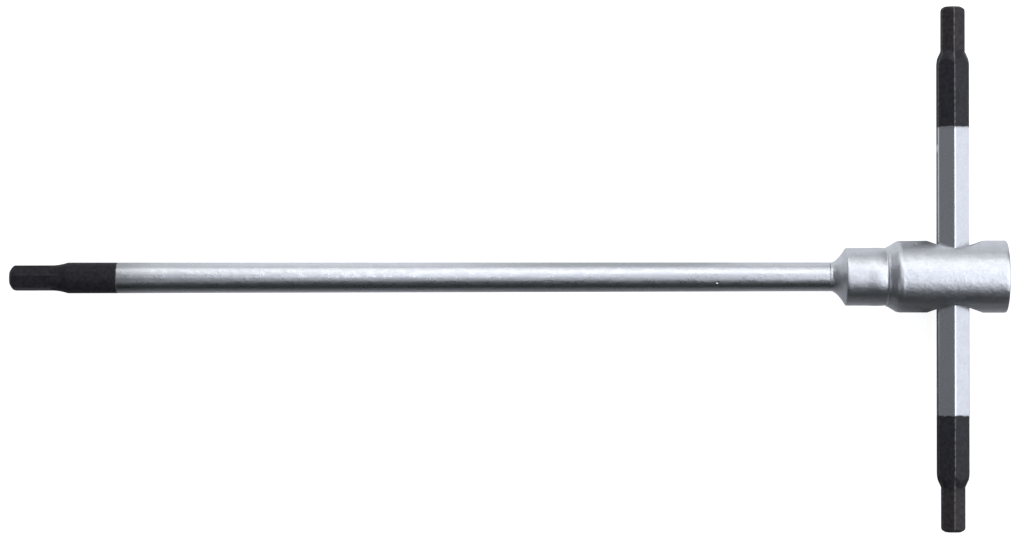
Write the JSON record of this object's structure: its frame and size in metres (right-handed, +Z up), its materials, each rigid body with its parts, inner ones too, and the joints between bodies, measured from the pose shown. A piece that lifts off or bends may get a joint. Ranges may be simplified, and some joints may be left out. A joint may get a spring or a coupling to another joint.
{
  "type": "sliding t-handle hexagon key",
  "caption": "T-shaped hand driver with a round shaft ending in a hexagon tip and a hexagon crossbar that slides through its turned head, held by a sprung ball.",
  "frame": {"origin": "centre of the flat end face of the shaft's hexagon tip", "axes": "+X along the shaft from its tip to the head, +Y along the crossbar, +Z up with the tool lying flat"},
  "size_m": [0.2571, 0.1355, 0.0188],
  "materials": {
    "shaft_satin_chrome": "satin chrome with a blackened tip zone",
    "head_satin_chrome": "satin chrome over a blasted surface",
    "crossbar_satin_chrome": "satin chrome with both ends blackened",
    "ball_bright_steel": "polished bearing ball",
    "spring_steel": "drawn spring wire"
  },
  "bodies": {
    "shaft_and_head": {"shaft": "shaft_satin_chrome", "head": "head_satin_chrome", "detent_spring": "spring_steel"},
    "crossbar": {"crossbar": "crossbar_satin_chrome"},
    "detent_ball": {"detent_ball": "ball_bright_steel"}
  },
  "joints": [
    {"name": "crossbar_slide", "type": "slide", "parent": "shaft_and_head", "child": "crossbar", "axis": [0, 1, 0], "range_m": [-0.03306, 0.02934]},
    {"name": "detent_ball_press", "type": "slide", "parent": "shaft_and_head", "child": "detent_ball", "axis": [1, 0, 0], "range_m": [-0.0006, 0], "stiffness_N_per_m": 2350, "deforming": ["detent_spring"]}
  ]
}
